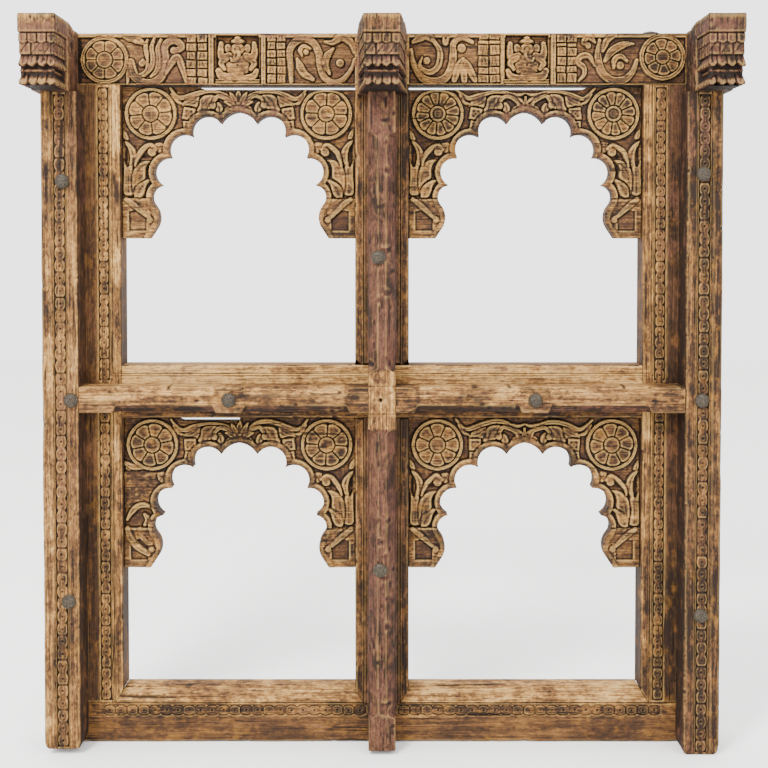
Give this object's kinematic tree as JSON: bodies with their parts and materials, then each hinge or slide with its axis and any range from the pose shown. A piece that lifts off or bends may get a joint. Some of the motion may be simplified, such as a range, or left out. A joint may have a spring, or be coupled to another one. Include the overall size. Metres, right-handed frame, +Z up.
{
  "type": "carved wooden window frame",
  "caption": "Carved wooden window frame with four lights under cusped arches, a carved head, beaded posts, capitals and domed iron nails.",
  "frame": {"origin": "on the flat back of the frame, behind the middle of the crossing of the bars", "axes": "+Z up, +X to the right as seen from the front, the carved front towards -Y"},
  "size_m": [1.355, 0.202, 1.437],
  "materials": {
    "pale_wood": "aged bare teak",
    "carved_wood": "aged carved teak with dark hollows",
    "painted_wood": "teak with worn maroon paint",
    "iron": "forged and rusted"
  },
  "bodies": {
    "root": {"left_stile": "pale_wood", "right_stile": "pale_wood", "centre_mullion": "pale_wood", "transom_rail": "pale_wood", "sill_rail": "pale_wood", "head_rail": "carved_wood", "left_post": "carved_wood", "right_post": "carved_wood", "upper_left_arch_left_half": "carved_wood", "upper_left_arch_right_half": "carved_wood", "upper_right_arch_left_half": "carved_wood", "upper_right_arch_right_half": "carved_wood", "lower_left_arch_left_half": "carved_wood", "lower_left_arch_right_half": "carved_wood", "lower_right_arch_left_half": "carved_wood", "lower_right_arch_right_half": "carved_wood", "left_capital": "painted_wood", "centre_capital": "painted_wood", "right_capital": "painted_wood", "centre_post": "painted_wood", "transom_bar": "painted_wood", "left_post_upper_nail": "iron", "left_post_middle_nail": "iron", "left_post_lower_nail": "iron", "right_post_upper_nail": "iron", "right_post_middle_nail": "iron", "right_post_lower_nail": "iron", "centre_post_upper_nail": "iron", "centre_post_lower_nail": "iron", "left_bar_nail": "iron", "right_bar_nail": "iron", "head_top_nail": "iron"}
  },
  "joints": []
}
